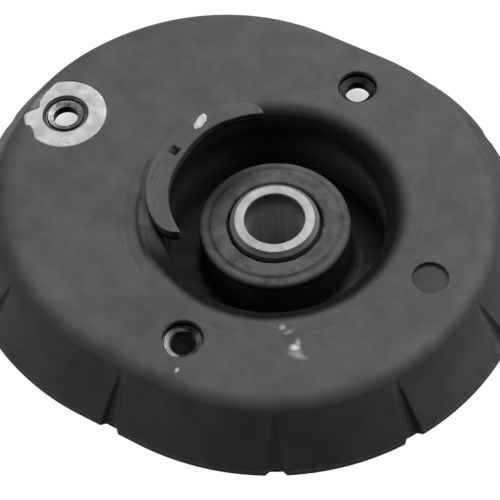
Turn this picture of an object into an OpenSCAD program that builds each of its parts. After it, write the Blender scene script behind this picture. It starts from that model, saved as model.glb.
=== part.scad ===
// Strut mount: a rubber-jacketed steel plate with a bonded bush in its drawn cup.
// Millimetres, +Z up. The strut axis is Z, the rim stands on Z = 0 and +X points
// from the strut axis to the blind dimple.

/* [Rim] */
// height of the flat top face above the edge of the skirt
cover_height = 15.6; // [12:0.1:24]
// how far the lower edge of the skirt stands out beyond the flat top face
skirt_reach = 12.3; // [10:0.1:16]
// distance between the two rim centres, which makes the outline long-round
rim_stretch = 15.4; // [6:0.1:24]
// width of the flat top face outside the two side nuts
flat_margin = 1.3; // [1.2:0.1:4]
// rounding between the top face and the skirt
shoulder_round = 5.5; // [4:0.1:8]
// height of the bead along the lower edge of the skirt
bead_height = 1.8; // [1.2:0.1:3]

/* [Skirt grooves] */
// radius of the round cutter of a groove
groove_radius = 2.4; // [1.6:0.1:3]
// depth of a groove at the lower edge of the skirt
groove_depth = 1.5; // [0.6:0.1:1.7]
// angle between two grooves round a rim centre
groove_step = 30; // [20:5:45]

/* [Rubber] */
// thickness of the rubber on the flat of the plate
skin_thickness = 1; // [0.8:0.1:1.6]
// thickness of the rubber on the flange of the plate
skirt_thickness = 2; // [1.6:0.1:2.1]
// thickness of the rubber on the wall of the cup
lining_thickness = 2.5; // [1.5:0.1:4]
// rounding of the mouth of the recess
mouth_round = 6; // [5:0.1:7]
// layer of bonding agent between the rubber and the bent steel
bond_gap = 0.08; // [0.06:0.01:0.15]

/* [Steel plate] */
// thickness of the pressed sheet
sheet_thickness = 2.5; // [2:0.1:3]
// bend between the flat of the plate and its flange, outside
flange_bend = 4.5; // [3.6:0.1:4.6]
// height of the lower edge of the flange
flange_edge = 3; // [2:0.1:6]

/* [Cup and bush] */
// radius of the cup inside
cup_radius = 28; // [27.6:0.1:30]
// depth of the outside of the cup below the edge of the skirt
cup_drop = 11.5; // [10:0.1:16]
// bend at the bottom of the cup, outside
cup_bend = 4.5; // [3.5:0.1:6]
// radius of the hole in the bottom of the cup
cup_hole = 13; // [11.5:0.1:15]
// thickness of the rubber web on the bottom of the cup
web_thickness = 5; // [4:0.1:8]
// radius of the rubber hub
hub_radius = 17.5; // [15:0.1:18]
// depth of the top of the hub below the top face
hub_depth = 5.9; // [5.5:0.1:9]
// rounding of the top edge of the hub
hub_round = 2.2; // [1:0.1:3]
// width of the groove between the hub and the sleeve
hub_groove = 0.8; // [0.6:0.1:2]
// depth of the groove between the hub and the sleeve
hub_groove_depth = 2; // [1:0.1:3]
// step of the rubber inside the bottom of the cup
collar_step = 0.5; // [0.2:0.1:1]

/* [Sleeve] */
// diameter of the bore for the strut rod
bore_diameter = 14.2; // [12:0.1:16.2]
// wall of the sleeve
sleeve_wall = 3.2; // [2.6:0.1:3.4]
// depth of the top of the sleeve below the top face
sleeve_depth = 4.5; // [3:0.1:6]
// length of the sleeve
sleeve_length = 22.2; // [20:0.1:26]
// chamfer of the ends of the sleeve
sleeve_chamfer = 0.3; // [0.2:0.1:0.6]
// wide chamfer round the top of the sleeve
sleeve_nose = 1.1; // [0.6:0.1:1.6]

/* [Fixings] */
// gap between the side nuts and the bend of the cup
nut_gap = 0.1; // [0.1:0.1:2]
// distance of the end fixing inside the edge of the flat top face
end_inset = 5.9; // [4.5:0.1:8]
// thread of the fixing bolts
thread_size = 7; // [6:1:8]
// diameter of the bored thread, to its crests
thread_bore = 5.92; // [5:0.01:6.8]
// width of a nut across its flats
nut_width = 13; // [10:0.1:13]
// height of the hexagon of a nut
nut_height = 2.5; // [2:0.1:4]
// diameter of the pilot of a nut
pilot_diameter = 10.5; // [9:0.1:11]
// gap round the pilot in the plate
pilot_gap = 0.15; // [0.05:0.05:0.3]
// depth of the top of the pilot below the bare plate
pilot_sink = 0.5; // [0.3:0.1:1]
// diameter of the holes in the rubber at the side fixings
side_opening = 9.1; // [8.6:0.1:10]
// diameter of the bare steel seat at the end fixing
seat_diameter = 19.8; // [18.6:0.1:20]
// height of the seat at the end fixing above the flat of the plate
seat_raise = 0.9; // [0.1:0.05:0.95]

/* [Small features] */
// distance of the blind dimple inside the edge of the flat top face
dimple_inset = 7.6; // [6:0.1:10]
// diameter of the blind dimple
dimple_diameter = 8.1; // [6:0.1:9]
// depth of the blind dimple
dimple_depth = 0.9; // [0.3:0.1:0.9]
// radius of the inner edge of the lug over the recess
lug_radius = 21.8; // [21:0.1:22.6]
// distance of the centre of that edge from the strut axis, towards the end fixing
lug_shift = 4.6; // [4:0.1:5]
// distance of the centre of that edge from the strut axis, towards +Y
lug_side = 3.3; // [2.8:0.1:3.8]
// lean of the lug about the strut axis
lug_lean = -14; // [-20:1:0]
// length of the lug from the strut axis to its blunt end
lug_blunt = 20.4; // [18:0.1:22]
// length of the lug from the strut axis to its pointed end
lug_point = 17.5; // [15:0.1:19]
// distance of the blunt end from the line of the lug through the strut axis
lug_end = 11.8; // [10:0.1:14]
// thickness of the lug
lug_thickness = 3; // [2:0.1:5]
// step of the lug below the top face
lug_step = 0.1; // [0.1:0.05:0.5]
// width of the square pit in the lug
pit_width = 2.2; // [1.4:0.1:2.6]
// depth of the square pit in the lug
pit_depth = 1.2; // [0.6:0.1:1.8]
// distance of the pit from the strut axis
pit_reach = 28.5; // [27.8:0.1:29]
// turn of the pit about the strut axis
pit_turn = 174; // [168:1:180]

/* [Hidden] */
$fn = 96;
eps = 0.01;
// plan: the cup carries the side nuts, the nuts carry the flat and the flat carries the rim
recess_radius = cup_radius - lining_thickness;
throat_bend = cup_radius - recess_radius + sheet_thickness;
throat_r = cup_radius + throat_bend;
side_reach = throat_r + nut_gap + nut_width / 2;
flat_radius = side_reach + nut_width / 2 + flat_margin;
rim_radius = flat_radius + skirt_reach;
end_reach = rim_stretch + flat_radius - end_inset;
dimple_reach = flat_radius - dimple_inset;
reach = rim_radius + rim_stretch;
// heights
plate_top = cover_height - skin_thickness;
plate_under = plate_top - sheet_thickness;
cup_floor = sheet_thickness - cup_drop;
web_top = cup_floor + web_thickness;
hub_top = cover_height - hub_depth;
sleeve_top = cover_height - sleeve_depth;
sleeve_radius = bore_diameter / 2 + sleeve_wall;
lug_top = cover_height - lug_step;
// skirt line: it leaves the bead and touches the shoulder rounding
shoulder_z = cover_height - shoulder_round;
skirt_rise = bead_height / 2 - shoulder_z;
skirt_far = sqrt(skirt_reach * skirt_reach + skirt_rise * skirt_rise);
skirt_normal = atan2(skirt_rise, skirt_reach) + acos(shoulder_round / skirt_far);
normal_r = cos(skirt_normal);
normal_z = sin(skirt_normal);
// flange line: parallel to the skirt, one skirt thickness inside it
bend_steps = 4;
bend_z = plate_top - flange_bend;
bend_r = flat_radius - (skirt_thickness - shoulder_round + flange_bend
         - normal_z * (shoulder_z - bend_z)) / normal_r;
// centre of the bend between the plate and the cup
throat_z = plate_top - throat_bend;
// centre of the mouth rounding of the rubber
mouth_r = recess_radius + mouth_round;
mouth_z = cover_height - mouth_round;
// fixings
pilot_top = plate_top - pilot_sink;
seat_hollow = nut_width / sqrt(3) + 0.4;
seat_top = plate_top + seat_raise;
seat_under = plate_under + seat_raise;
seat_foot = seat_under - sheet_thickness;
// groove cutter: its axis leans with the skirt and runs out at the shoulder
skirt_length = skirt_far * sin(acos(shoulder_round / skirt_far));
groove_lean = skirt_normal - asin(groove_depth / skirt_length);

// one section in the plane of radius and height, carried round the two rim centres
module long_round() {
    rotate([0, 0, -90]) rotate_extrude(angle = 180) children();
    translate([-rim_stretch, 0, 0]) rotate([0, 0, 90]) rotate_extrude(angle = 180) children();
    for (side = [0, 1])
        mirror([0, side, 0])
            translate([-rim_stretch, 0, 0])
                rotate([90, 0, 90]) linear_extrude(rim_stretch) children();
}

// half of the filled outside of the rubber
module cover_section() {
    union() {
        polygon([[0, 0], [rim_radius - bead_height / 2, 0], [rim_radius, bead_height / 2],
                 [flat_radius + shoulder_round * normal_r, shoulder_z + shoulder_round * normal_z],
                 [flat_radius, cover_height], [0, cover_height]]);
        translate([flat_radius, shoulder_z]) circle(shoulder_round);
        translate([rim_radius - bead_height / 2, bead_height / 2]) circle(bead_height / 2);
    }
}

// half of the filled space under the plate, taken in by inset and cut off at foot
module plate_fill(inset, foot) {
    bend = flange_bend - inset;
    touch_r = bend_r + bend * normal_r;
    touch_z = bend_z + bend * normal_z;
    foot_r = touch_r + (touch_z - foot) * normal_z / normal_r;
    turn = (90 - skirt_normal) / bend_steps;
    arc = [for (k = [0 : bend_steps])
           [bend_r + bend * cos(skirt_normal + k * turn), bend_z + bend * sin(skirt_normal + k * turn)]];
    polygon(concat([[0, foot], [foot_r, foot]], arc, [[0, plate_top - inset]]));
}

module plate_section() {
    difference() {
        plate_fill(0, flange_edge);
        plate_fill(sheet_thickness, flange_edge - reach / 4);
    }
}

// bend of the plate into the wall of the cup
module throat_section() {
    intersection() {
        translate([throat_r, throat_z]) difference() {
            circle(throat_bend);
            circle(throat_bend - sheet_thickness);
        }
        translate([cup_radius, throat_z]) square([throat_bend, throat_bend]);
    }
}

// cup: wall, bottom bend and bottom
module cup_section() {
    wall_out = cup_radius + sheet_thickness;
    low_r = wall_out - cup_bend;
    low_z = cup_bend - cup_drop;
    translate([cup_radius, low_z]) square([sheet_thickness, throat_z - low_z]);
    intersection() {
        translate([low_r, low_z]) difference() {
            circle(cup_bend);
            circle(cup_bend - sheet_thickness);
        }
        translate([low_r, -cup_drop]) square([cup_bend, cup_bend]);
    }
    translate([cup_hole, -cup_drop]) square([low_r - cup_hole, sheet_thickness]);
}

// filled space under the rubber of the rim, one bond gap outside the bent steel
module bond_section() {
    intersection() {
        plate_fill(-bond_gap, -5);
        translate([0, -reach]) square([reach, reach + plate_top]);
    }
}

// filled rubber round the recess, one bond gap inside the throat and the wall of the cup
module lining_section() {
    translate([0, web_top]) square([cup_radius - bond_gap, cover_height - web_top]);
    difference() {
        translate([0, throat_z]) square([throat_r, cover_height - throat_z]);
        intersection() {
            translate([throat_r, throat_z]) circle(throat_bend + bond_gap);
            square([reach, plate_top]);
        }
    }
}

// recess with its rounded mouth
module recess_section() {
    translate([0, web_top - 1]) square([recess_radius, reach]);
    difference() {
        translate([0, mouth_z]) square([mouth_r, mouth_round + 1]);
        translate([mouth_r, mouth_z]) circle(mouth_round);
    }
}

// crescent between the mouth and an eccentric round edge, kept clear of the steel throat
module lug() {
    difference() {
        intersection() {
            translate([0, 0, lug_top - lug_thickness])
                linear_extrude(lug_thickness)
                    intersection() {
                        difference() {
                            circle(mouth_r - 0.5);
                            translate([-lug_shift, lug_side]) circle(lug_radius);
                        }
                        rotate(lug_lean)
                            translate([-reach, -lug_blunt])
                                square([reach - lug_end, lug_blunt + lug_point]);
                    }
            rotate_extrude() lining_section();
        }
        lug_pit();
    }
}

// square pit pressed into the top of the lug
module lug_pit() {
    rotate([0, 0, pit_turn])
        translate([pit_reach, 0, lug_top - pit_depth])
            translate([-pit_width / 2, -pit_width / 2, 0])
                cube([pit_width, pit_width, pit_depth + 1]);
}

module groove() {
    translate([rim_radius + groove_radius - groove_depth, 0, bead_height / 2])
        rotate([0, -groove_lean, 0])
            translate([0, 0, -6]) cylinder(r = groove_radius, h = 6 + skirt_length);
}

module grooves() {
    for (turn = [-60 : groove_step : 60])
        rotate([0, 0, turn]) groove();
    for (turn = [120 : groove_step : 240])
        translate([-rim_stretch, 0, 0]) rotate([0, 0, turn]) groove();
    for (turn = [90, -90])
        translate([-rim_stretch / 2, 0, 0]) rotate([0, 0, turn]) groove();
}

// moulded rubber jacket
module rubber_cover() {
    color([0.16, 0.16, 0.17])
    union() {
        difference() {
            union() {
                difference() {
                    long_round() cover_section();
                    long_round() bond_section();
                }
                rotate_extrude() lining_section();
            }
            rotate_extrude() recess_section();
            for (side = [1, -1])
                translate([0, side * side_reach, plate_top - 1])
                    cylinder(d = side_opening, h = reach);
            translate([-end_reach, 0, -1]) cylinder(d = seat_diameter + 2 * bond_gap, h = reach);
            translate([dimple_reach, 0, cover_height - dimple_depth])
                cylinder(d = dimple_diameter, h = reach);
            grooves();
            lug_pit();
        }
        lug();
    }
}

// pressed steel plate with its flange and its throat
module core_plate() {
    color([0.62, 0.63, 0.64])
    difference() {
        union() {
            difference() {
                long_round() plate_section();
                translate([0, 0, -reach / 2]) cylinder(r = throat_r, h = reach);
            }
            rotate_extrude() throat_section();
        }
        translate([-end_reach, 0, -1]) cylinder(d = seat_diameter, h = reach);
        for (side = [1, -1])
            translate([0, side * side_reach, 0])
                cylinder(d = pilot_diameter + 2 * pilot_gap, h = reach);
    }
}

// drawn steel cup, butt-welded to the throat of the plate
module bush_cup() {
    color([0.6, 0.61, 0.62])
    rotate_extrude() cup_section();
}

// pressed steel seat, welded into the plate over the end nut
module end_seat() {
    hole = pilot_diameter / 2 + pilot_gap;
    color([0.75, 0.76, 0.77])
    translate([-end_reach, 0, 0])
        rotate_extrude()
            polygon([[hole, seat_under], [seat_hollow, seat_under], [seat_hollow, seat_foot],
                     [seat_diameter / 2, seat_foot], [seat_diameter / 2, seat_top],
                     [hole, seat_top]]);
}

// hub and web of rubber, bonded between the cup and the sleeve
module bush_rubber() {
    color([0.2, 0.2, 0.21])
    rotate_extrude()
        difference() {
            union() {
                translate([sleeve_radius, collar_step - cup_drop])
                    square([cup_hole - sleeve_radius, cup_drop + web_top - collar_step]);
                bush_web();
                translate([sleeve_radius, web_top - 1])
                    square([hub_radius - sleeve_radius, hub_top - hub_round - web_top + 1]);
                translate([sleeve_radius, hub_top - hub_round - eps])
                    square([hub_radius - hub_round - sleeve_radius, hub_round + eps]);
                translate([hub_radius - hub_round, hub_top - hub_round]) circle(hub_round);
            }
            translate([sleeve_radius - 1, hub_top - hub_groove_depth])
                square([1 + hub_groove, hub_groove_depth + 2]);
        }
}

module bush_web() {
    corner = cup_bend - sheet_thickness;
    low_r = cup_radius - corner;
    translate([sleeve_radius, cup_floor]) square([low_r - sleeve_radius, web_thickness]);
    translate([sleeve_radius, cup_floor + corner])
        square([cup_radius - sleeve_radius, web_thickness - corner]);
    translate([low_r, cup_floor + corner]) circle(corner);
}

// steel sleeve for the strut rod
module inner_sleeve() {
    color([0.8, 0.81, 0.82])
    rotate_extrude()
        polygon([[bore_diameter / 2, sleeve_top - sleeve_length + sleeve_chamfer],
                 [bore_diameter / 2 + sleeve_chamfer, sleeve_top - sleeve_length],
                 [sleeve_radius - sleeve_chamfer, sleeve_top - sleeve_length],
                 [sleeve_radius, sleeve_top - sleeve_length + sleeve_chamfer],
                 [sleeve_radius, sleeve_top - sleeve_nose],
                 [sleeve_radius - sleeve_nose, sleeve_top],
                 [bore_diameter / 2 + sleeve_chamfer, sleeve_top],
                 [bore_diameter / 2, sleeve_top - sleeve_chamfer]]);
}

// thin weld nut: hexagon under the plate, pilot in its hole, countersunk thread bore
module weld_nut() {
    sink = (thread_size - thread_bore) / 2 + 0.15;
    bottom = plate_under - nut_height;
    difference() {
        union() {
            translate([0, 0, bottom])
                cylinder(d = nut_width / cos(30), h = nut_height, $fn = 6);
            translate([0, 0, plate_under - 1])
                cylinder(d = pilot_diameter, h = pilot_top - plate_under + 1);
        }
        translate([0, 0, bottom - 1]) cylinder(d = thread_bore, h = reach);
        translate([0, 0, pilot_top - sink])
            cylinder(d1 = thread_bore, d2 = thread_bore + 2 * sink, h = sink);
        translate([0, 0, bottom])
            cylinder(d1 = thread_bore + 2 * sink, d2 = thread_bore, h = sink);
    }
}

module nut_end() {
    color([0.55, 0.56, 0.57]) translate([-end_reach, 0, seat_raise]) weld_nut();
}

module nut_left() {
    color([0.55, 0.56, 0.57]) translate([0, side_reach, 0]) weld_nut();
}

module nut_right() {
    color([0.55, 0.56, 0.57]) translate([0, -side_reach, 0]) weld_nut();
}

rubber_cover();
core_plate();
bush_cup();
end_seat();
bush_rubber();
inner_sleeve();
nut_end();
nut_left();
nut_right();
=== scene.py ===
"""Looks of a strut mount: rubber jacket, bonded bush, sleeve, nuts and steel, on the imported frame.

Sizes are in millimetres in the frame of the solids, and meshes are put down in metres. The strut axis is
the upright line through the origin. A turn is a direction in plan, in degrees from the x axis.
"""
import math

import bmesh
import bpy
import numpy as np
from mathutils import Matrix, Vector
from mathutils.geometry import delaunay_2d_cdt


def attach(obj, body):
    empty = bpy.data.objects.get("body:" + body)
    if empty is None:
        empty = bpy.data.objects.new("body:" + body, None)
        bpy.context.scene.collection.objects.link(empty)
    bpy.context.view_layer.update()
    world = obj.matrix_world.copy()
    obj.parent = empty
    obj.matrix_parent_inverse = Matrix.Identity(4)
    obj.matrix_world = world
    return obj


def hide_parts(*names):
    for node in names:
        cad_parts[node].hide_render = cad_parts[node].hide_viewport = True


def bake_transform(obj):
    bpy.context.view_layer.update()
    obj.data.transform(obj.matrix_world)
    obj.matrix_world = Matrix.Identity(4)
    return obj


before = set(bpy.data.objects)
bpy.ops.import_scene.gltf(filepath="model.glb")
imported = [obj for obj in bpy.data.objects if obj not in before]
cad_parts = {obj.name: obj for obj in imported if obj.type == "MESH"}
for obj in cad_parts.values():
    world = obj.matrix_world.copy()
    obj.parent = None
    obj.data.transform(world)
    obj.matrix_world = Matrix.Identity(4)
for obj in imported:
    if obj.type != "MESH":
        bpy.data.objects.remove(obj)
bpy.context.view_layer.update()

MM = 0.001

# Rubber jacket, with the radii of its rim about two centres and those of the recess about the strut axis
TOP = 15.6  # height of the flat top
STRETCH = 15.4  # way between the two rim centres, along x
RIM = 59.7  # outer radius at the foot of the skirt
FLAT = 48.2  # radius where the flat top ends and the shoulder begins
SHOULDER = 4.0  # radius of the shoulder circle
EDGE = 51.3  # radius where the mesh of the top meets that of the skirt
BEAD = 0.9  # radius of the bead along the foot
SKIRT_WALL = 2.0
SKIRT_NORMAL = math.atan2(BEAD - (TOP - SHOULDER), RIM - FLAT) + math.acos(
    SHOULDER / math.hypot(RIM - FLAT, BEAD - (TOP - SHOULDER)))  # rise of the slope's outward normal
GROOVE = 2.3  # half width of a groove at the foot
GROOVE_DEPTH = 1.5
GROOVE_STEP = 30  # degrees from one groove to the next
GROOVE_RISE = 12.1  # height over the bead where a groove's painted shade ends
RECESS = 25.5
MOUTH = 6.0  # radius of the rounding at the top of the recess
APRON = 34.0  # radius where the mesh of the mouth meets that of the top
RIM_SWELLS = ((77, 11, 0.35), (54, 10, -0.7), (165, 11, 0.35), (188, 10, -0.8))  # turn, width, shift
SKIRT_LIGHT = ((250, 20, 0.08), (303, 22, -0.13), (350, 18, 0.06))  # turn, width, change of painted light round the skirt

# Lug over the edge of the recess
LUG_TOP = TOP + 0.08
LUG_START = 125.0  # turn where it begins
LUG_SWEEP = 101.5
LUG_MIDDLE = 174.0  # turn of its swelling and its pit
LUG_WIDTH = 5.1
LUG_DEPTH = 3.0
LUG_ROUND = 0.45  # rounding of its top edges
LUG_X = -4.6  # middle of the circle that its inner edge follows
LUG_Y = 3.3
LUG_CIRCLE = 21.8
PIT = 28.5  # way from the strut axis to the pit in the lug
FLECK_X = -27.4
FLECK_Y = 13.1

# Openings of the top and the fixings in them
SIDE = 39.6  # way along y to the side fixings
SIDE_HOLE = 4.55
HOLE_LIP = 0.45
HOLE_DEPTH = 1.05
DIMPLE = 39.8  # way along x to the blind dimple
DIMPLE_RADIUS = 4.05
DIMPLE_LIP = 0.22
DIMPLE_DEPTH = 0.9
END = -56.9  # way along x to the end fixing
END_RAISED = 0.9  # how much higher the end nut sits than the side nuts
SEAT_RING = 9.9  # radius of the bare seat
SEAT_GAP = 0.25  # from there to where the mesh of the top ends
SEAT_TOP = 15.5
SEAT_UNDER = 13.0
SEAT_FOOT = 10.5
SEAT_HOLE = 5.4
SEAT_HOLLOW = 7.95
MOUTH_COUNT = 420  # points round the rings that two meshes share
SEAT_COUNT = 240
HOLE_COUNT = 96

# Weld nuts
NUT_BOTTOM = 9.6
NUT_UNDER = 12.1  # height of the shoulder under the pilot
NUT_TOP = 14.1
HEX = 6.5  # half the width across flats
PILOT = 5.25
SINK = 4.05  # radius of the countersink
PITCH = 1.0
THREAD_CREST = 2.82
THREAD_ROOT = 3.4

# Bush and sleeve
WEB_TOP = -4.0
WEB_UNDER = -9.02
WEB_EDGE = 27.95
COLLAR = 12.95
COLLAR_END = -11.0
HUB = 17.5
HUB_TOP = 9.7
HUB_LINE = 15.45  # radius of the fine line between the two rings on top
HUB_LIP = 11.05  # radius of the lip round the sleeve
SLEEVE_OUT = 10.3
SLEEVE_BORE = 6.95
SLEEVE_TOP = 11.1
SLEEVE_END = -11.1

# Studio
FLOOR = -11.5
TOWARDS = Vector((0.567, -0.824, 0.0))  # level direction from the part to the camera
CAMERA_PLACE = Vector((133.256, -204.565, 361.125))
CAMERA_RIGHT = Vector((0.861397, 0.505621, -0.0484))
CAMERA_UP = Vector((-0.396957, 0.729581, 0.556899))
CAMERA_BACK = Vector((0.316892, -0.460498, 0.829169))
LENS = 134.425


# Curves

def smooth_step(value, low, high):
    """0 below low, 1 above high and a cubic ramp between them."""
    share = np.clip((value - low) / (high - low), 0, 1)
    return share * share * (3 - 2 * share)


def between(value, start, full, end, gone):
    """0 up to start, 1 from full to end and 0 past gone, with cubic ramps between them."""
    return smooth_step(value, start, full) * (1 - smooth_step(value, end, gone))


def hump(value, centre, width):
    """Bell curve: the exponential of minus the square of the distance from the centre, in widths."""
    return np.exp(-((value - centre) / width) ** 2)


def facing(way, towards, sharpness):
    """1 in one direction, less away from it: the exponential of sharpness times cosine less 1."""
    return np.exp(sharpness * (np.cos(way - towards) - 1))


def around(count):
    """Directions evenly round a full turn, in radians."""
    return np.linspace(0, 2 * math.pi, count, endpoint=False)


def arc(centre_radius, centre_height, radius, start, end, count):
    """Points of a circle in the plane of radius and height, from one angle to another in degrees."""
    angle = np.radians(np.linspace(start, end, count))
    return np.stack([centre_radius + radius * np.cos(angle), centre_height + radius * np.sin(angle)], -1)


def line(start, end, count):
    """Points on the straight from start to end."""
    share = np.linspace(0, 1, count)[:, None]
    return np.asarray(start, float) * (1 - share) + np.asarray(end, float) * share


# Meshes

def grid(points, closed_u=False, closed_v=False):
    """A part from points of shape (u, v, 3): quads join each point to its neighbours in u and v."""
    count_u, count_v = points.shape[:2]
    u, v = np.meshgrid(np.arange(count_u if closed_u else count_u - 1),
                       np.arange(count_v if closed_v else count_v - 1), indexing="ij")
    next_u, next_v = (u + 1) % count_u, (v + 1) % count_v
    quads = [u * count_v + v, u * count_v + next_v, next_u * count_v + next_v, next_u * count_v + v]
    return points.reshape(-1, 3), np.stack(quads, -1).reshape(-1, 4)


def spun(radius, height, angle, x=0.0, y=0.0):
    """Points at a radius, a height and a direction about the upright line through x, y."""
    return np.stack(np.broadcast_arrays(x + radius * np.cos(angle), y + radius * np.sin(angle), height), -1)


def turned(profile, count, x=0.0, y=0.0, closed=False):
    """A profile of (radius, height) pairs turned about the upright line through x, y.

    The profile runs anticlockwise round its solid, radius to the right, so faces point outwards.
    """
    radius, height = np.asarray(profile, float).T[:, :, None]
    return grid(spun(radius, height, around(count), x, y), closed_u=closed, closed_v=True)


def put_in_scene(name, data):
    """A new object with this data, linked into the scene."""
    obj = bpy.data.objects.new(name, data)
    bpy.context.scene.collection.objects.link(obj)
    return obj


def make_piece(name, parts, material, body, nodes=(), sharp=None, marks=None):
    """One mesh from several parts, with the seams between them joined and smooth faces.

    Edges sharper than the angle sharp stay sharp. marks maps an attribute's name to a function of the
    points in millimetres.
    """
    points = np.concatenate([part_points for part_points, _ in parts])
    faces, first = [], 0
    for part_points, part_faces in parts:
        faces += (part_faces + first).tolist()
        first += len(part_points)
    mesh = bpy.data.meshes.new(name)
    mesh.from_pydata((points * MM).tolist(), [], faces)
    work = bmesh.new()
    work.from_mesh(mesh)
    bmesh.ops.remove_doubles(work, verts=work.verts, dist=3e-6)
    bmesh.ops.dissolve_degenerate(work, edges=work.edges, dist=1e-7)
    work.to_mesh(mesh)
    work.free()
    mesh.polygons.foreach_set("use_smooth", np.ones(len(mesh.polygons), bool))
    if sharp is not None:
        mesh.set_sharp_from_angle(angle=math.radians(sharp))
    place = np.zeros(len(mesh.vertices) * 3, np.float32)
    mesh.vertices.foreach_get("co", place)
    place = place.reshape(-1, 3) / MM
    for mark, rule in (marks or {}).items():
        layer = mesh.attributes.new(mark, "FLOAT", "POINT")
        layer.data.foreach_set("value", rule(place).astype(np.float32))
    mesh.update()
    mesh.materials.append(material)
    obj = put_in_scene(name, mesh)
    if body:
        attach(obj, body)
    if nodes:
        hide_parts(*nodes)
    return obj


# Shading nodes

class Nodes:
    """A node tree, with short ways to add nodes to it."""

    def __init__(self, tree):
        self.tree = tree

    def plug(self, socket, value):
        """Link another socket to this one, or set its plain value."""
        if isinstance(value, bpy.types.NodeSocket):
            self.tree.links.new(value, socket)
        else:
            socket.default_value = value

    def node(self, kind, inputs=None, **settings):
        """A node of a kind, with its settings and with its inputs plugged."""
        made = self.tree.nodes.new("ShaderNode" + kind)
        for key, value in settings.items():
            setattr(made, key, value)
        for key, value in (inputs or {}).items():
            self.plug(made.inputs[key], value)
        return made

    def ramp(self, value, low, high, to_low=0.0, to_high=1.0):
        """A cubic ramp that goes from to_low to to_high while the value goes from low to high."""
        made = self.node("MapRange", {"Value": value, "From Min": low, "From Max": high,
                                      "To Min": to_low, "To Max": to_high},
                         interpolation_type="SMOOTHSTEP")
        return made.outputs["Result"]

    def maths(self, operation, a, b=0.0):
        """One operation on two numbers."""
        return self.node("Math", {0: a, 1: b}, operation=operation).outputs[0]

    def product(self, first, *others):
        """All the numbers multiplied, in their order."""
        for other in others:
            first = self.maths("MULTIPLY", first, other)
        return first

    def vector(self, operation, a, b=(0, 0, 0)):
        """One operation on two vectors, which gives a vector."""
        return self.node("VectorMath", {0: a, 1: b}, operation=operation).outputs["Vector"]

    def measure(self, operation, a, b=(0, 0, 0)):
        """One operation on two vectors, which gives a number."""
        return self.node("VectorMath", {0: a, 1: b}, operation=operation).outputs["Value"]


class Shade(Nodes):
    """A material with one Principled shader, its patterns laid out in metres of the object."""

    def __init__(self, name):
        self.material = bpy.data.materials.new(name)
        self.material.use_nodes = True
        super().__init__(self.material.node_tree)
        self.shader = self.tree.nodes["Principled BSDF"]
        self.place = self.node("TexCoord").outputs["Object"]

    def noise(self, scale, detail=3.0, roughness=0.55, place=None):
        """Cloudy noise about one half, over the object or over a place that is given."""
        made = self.node("TexNoise", {"Vector": place or self.place, "Scale": scale,
                                      "Detail": detail, "Roughness": roughness})
        return made.outputs["Fac"]

    def plan(self):
        """The place in plan, its height dropped."""
        return self.vector("MULTIPLY", self.place, (1, 1, 0))

    def rings(self, scale):
        """Noise of the distance from the strut axis alone, so that it makes rings."""
        far = self.measure("LENGTH", self.plan())
        return self.noise(scale, 2, 0.5, self.node("CombineXYZ", {0: far}).outputs[0])

    def smear(self, x, y, half_x, half_y, turn):
        """1 at a point of the plan and 0 outside an ellipse about it."""
        moved = self.node("Mapping", {"Vector": self.place, "Location": (x * MM, y * MM, 0),
                                      "Rotation": (0, 0, math.radians(turn)),
                                      "Scale": (half_x * MM, half_y * MM, 1e6)},
                          vector_type="TEXTURE").outputs[0]
        return self.ramp(self.measure("LENGTH", moved), 1.0, 0.05)

    def mark(self, name):
        """The number that a piece's own attribute gives."""
        return self.node("Attribute", attribute_name=name).outputs["Fac"]

    def even(self, level):
        """A neutral colour of a level that varies over the piece."""
        return self.node("CombineColor", {0: level, 1: level, 2: level}).outputs[0]

    def blend(self, share, under, over):
        """The colour over laid on the colour under by a share."""
        return self.node("Mix", {0: share, 6: under, 7: over}, data_type="RGBA").outputs[2]

    def set(self, **sockets):
        """Plug the shader's own sockets, with _ for each space in a name."""
        for key, value in sockets.items():
            self.plug(self.shader.inputs[key.replace("_", " ")], value)

    def bump(self, height, strength, distance):
        """Fine relief from a height, which ends the material."""
        made = self.node("Bump", {"Height": height, "Strength": strength, "Distance": distance})
        self.set(Normal=made.outputs["Normal"])
        return self.material


def grey(level):
    """A neutral colour of one linear level."""
    return (level, level, level, 1.0)


# Materials

# Pale spots on the top of the jacket, each a lighter patch of the base colour
PALE_SPOTS = ((22.5, -29.9, 1.7, 1.3, 30, 0.95), (22.6, -28.7, 0.9, 1.9, 30, 0.4),
          (23.8, -31.3, 3.0, 1.15, 10, 0.46), (23.7, -31.0, 1.9, 1.9, 30, 0.3),
          (17.6, -26.75, 1.1, 1.0, 30, 0.42), (19.4, -27.0, 1.8, 0.9, 55, 0.2),
          (3.1, -46.9, 0.6, 1.0, 0, 0.7))  # x, y, half length, half width, turn and strength


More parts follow.
